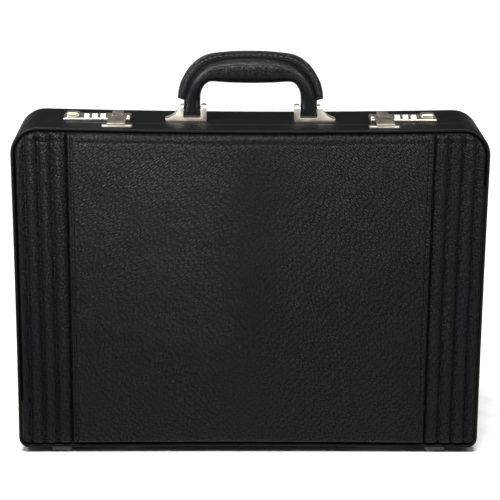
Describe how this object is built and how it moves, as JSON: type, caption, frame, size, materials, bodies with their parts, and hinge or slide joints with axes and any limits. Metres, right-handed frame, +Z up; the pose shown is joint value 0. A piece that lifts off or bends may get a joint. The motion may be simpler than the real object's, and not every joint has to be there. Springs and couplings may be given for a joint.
{
  "type": "hard-sided leather briefcase",
  "caption": "Hard-sided black leather attache case with padded ribbed front, nickel combination locks, folding carry handle, hinged lid on sliding stays and lined interior.",
  "frame": {"origin": "centre of the footprint on the floor, under the case standing upright on its hinge edge", "axes": "+X along the case's width to the right as seen from the lid, +Y from the lid towards the base, +Z up towards the handle"},
  "size_m": [0.457, 0.094, 0.3986],
  "materials": {
    "board": "thin plywood and fibre board, unseen under the leather",
    "smooth_leather": "smooth black split leather, low sheen, stretched over the side walls",
    "padded_leather": "black pebble-grain cowhide, satin sheen, over foam padding",
    "grip_leather": "black fine pebble-grain cowhide, satin sheen",
    "lining": "dark grey woven polyester lining, matt",
    "lining_leather": "black skiver leather, matt",
    "black_frame": "black anodised aluminium valance, satin",
    "satin_nickel": "satin nickel-plated zinc casting",
    "bright_nickel": "polished nickel plate over steel",
    "steel": "bright zinc-plated steel",
    "dial_plastic": "moulded ivory-white acetal with dark printed digits",
    "foot_plastic": "moulded black nylon",
    "foot_nickel": "nickel-plated steel dome stud"
  },
  "bodies": {
    "base": {"base_shell": "board", "base_wall_cover": "smooth_leather", "base_back_panel": "padded_leather", "base_rib_panel_left": "padded_leather", "base_rib_panel_right": "padded_leather", "base_lining": "lining", "base_frame": "black_frame", "handle_bracket_left": "satin_nickel", "handle_bracket_right": "satin_nickel", "lock_plate_left": "bright_nickel", "lock_plate_right": "bright_nickel", "hasp_bracket_left": "bright_nickel", "hasp_bracket_right": "bright_nickel", "lock_case_left": "steel", "lock_case_right": "steel", "dial_axles": "steel", "hasp_pins": "steel", "handle_pins": "steel", "handle_rivets": "steel", "handle_backing_plates": "steel", "hinge_pins": "steel", "hinge_base_leaves": "steel", "stay_base_rivets": "steel", "base_foot_plates": "foot_plastic", "base_feet": "foot_nickel"},
    "lid": {"lid_shell": "board", "lid_wall_cover": "smooth_leather", "lid_front_panel": "padded_leather", "lid_rib_panel_left": "padded_leather", "lid_rib_panel_right": "padded_leather", "lid_lining": "lining", "lid_file_pocket": "lining_leather", "lid_card_pockets": "lining_leather", "lid_pen_loops": "lining_leather", "lid_frame": "black_frame", "catch_plate_left": "satin_nickel", "catch_plate_right": "satin_nickel", "lid_foot_plates": "foot_plastic", "lid_feet": "foot_nickel", "hinge_lid_leaves": "steel", "stay_lid_rivets": "steel"},
    "dial_left_1": {"dial_left_1": "dial_plastic"},
    "dial_left_2": {"dial_left_2": "dial_plastic"},
    "dial_left_3": {"dial_left_3": "dial_plastic"},
    "push_button_left": {"push_button_left": "bright_nickel"},
    "hasp_left": {"hasp_left": "bright_nickel"},
    "stay_arm_left": {"stay_arm_left": "steel"},
    "stay_guide_left": {"stay_guide_left": "steel"},
    "dial_right_1": {"dial_right_1": "dial_plastic"},
    "dial_right_2": {"dial_right_2": "dial_plastic"},
    "dial_right_3": {"dial_right_3": "dial_plastic"},
    "push_button_right": {"push_button_right": "bright_nickel"},
    "hasp_right": {"hasp_right": "bright_nickel"},
    "stay_arm_right": {"stay_arm_right": "steel"},
    "stay_guide_right": {"stay_guide_right": "steel"},
    "handle": {"handle_grip": "grip_leather", "handle_welt": "grip_leather", "handle_core": "steel"}
  },
  "joints": [
    {"name": "lid_hinge", "type": "hinge", "parent": "base", "child": "lid", "pos_m": [0, -0.01605, 0.0034], "axis": [1, 0, 0], "range_deg": [0, 95]},
    {"name": "handle_swing", "type": "hinge", "parent": "base", "child": "handle", "pos_m": [0, 0.0014, 0.3426], "axis": [1, 0, 0], "range_deg": [-85, 85]},
    {"name": "hasp_left_flip", "type": "hinge", "parent": "base", "child": "hasp_left", "pos_m": [-0.1283, -0.012, 0.3356], "axis": [-1, 0, 0], "range_deg": [0, 90]},
    {"name": "push_button_left_slide", "type": "slide", "parent": "base", "child": "push_button_left", "axis": [-1, 0, 0], "range_m": [0, 0.004], "stiffness_N_per_m": 150, "springref_m": -0.001},
    {"name": "dial_left_1_turn", "type": "hinge", "parent": "base", "child": "dial_left_1", "pos_m": [-0.1583, 0.0004, 0.3308], "axis": [1, 0, 0], "continuous": true},
    {"name": "dial_left_2_turn", "type": "hinge", "parent": "base", "child": "dial_left_2", "pos_m": [-0.1504, 0.0004, 0.3308], "axis": [1, 0, 0], "continuous": true},
    {"name": "dial_left_3_turn", "type": "hinge", "parent": "base", "child": "dial_left_3", "pos_m": [-0.1425, 0.0004, 0.3308], "axis": [1, 0, 0], "continuous": true},
    {"name": "stay_arm_left_pivot", "type": "hinge", "parent": "lid", "child": "stay_arm_left", "pos_m": [-0.2165, -0.02245, 0.0327], "axis": [1, 0, 0], "range_deg": [-47.5, 0]},
    {"name": "stay_guide_left_pivot", "type": "hinge", "parent": "base", "child": "stay_guide_left", "pos_m": [-0.2165, -0.00965, 0.0327], "axis": [1, 0, 0], "range_deg": [0, 47.5]},
    {"name": "hasp_right_flip", "type": "hinge", "parent": "base", "child": "hasp_right", "pos_m": [0.1283, -0.012, 0.3356], "axis": [-1, 0, 0], "range_deg": [0, 90]},
    {"name": "push_button_right_slide", "type": "slide", "parent": "base", "child": "push_button_right", "axis": [1, 0, 0], "range_m": [0, 0.004], "stiffness_N_per_m": 150, "springref_m": -0.001},
    {"name": "dial_right_1_turn", "type": "hinge", "parent": "base", "child": "dial_right_1", "pos_m": [0.1583, 0.0004, 0.3308], "axis": [1, 0, 0], "continuous": true},
    {"name": "dial_right_2_turn", "type": "hinge", "parent": "base", "child": "dial_right_2", "pos_m": [0.1504, 0.0004, 0.3308], "axis": [1, 0, 0], "continuous": true},
    {"name": "dial_right_3_turn", "type": "hinge", "parent": "base", "child": "dial_right_3", "pos_m": [0.1425, 0.0004, 0.3308], "axis": [1, 0, 0], "continuous": true},
    {"name": "stay_arm_right_pivot", "type": "hinge", "parent": "lid", "child": "stay_arm_right", "pos_m": [0.2165, -0.02245, 0.0327], "axis": [1, 0, 0], "range_deg": [-47.5, 0]},
    {"name": "stay_guide_right_pivot", "type": "hinge", "parent": "base", "child": "stay_guide_right", "pos_m": [0.2165, -0.00965, 0.0327], "axis": [1, 0, 0], "range_deg": [0, 47.5]}
  ],
  "couplings": [
    {"joint": "stay_arm_left_pivot", "follows": "lid_hinge", "ratio": -0.5},
    {"joint": "stay_guide_left_pivot", "follows": "lid_hinge", "ratio": 0.5},
    {"joint": "stay_arm_right_pivot", "follows": "lid_hinge", "ratio": -0.5},
    {"joint": "stay_guide_right_pivot", "follows": "lid_hinge", "ratio": 0.5}
  ]
}
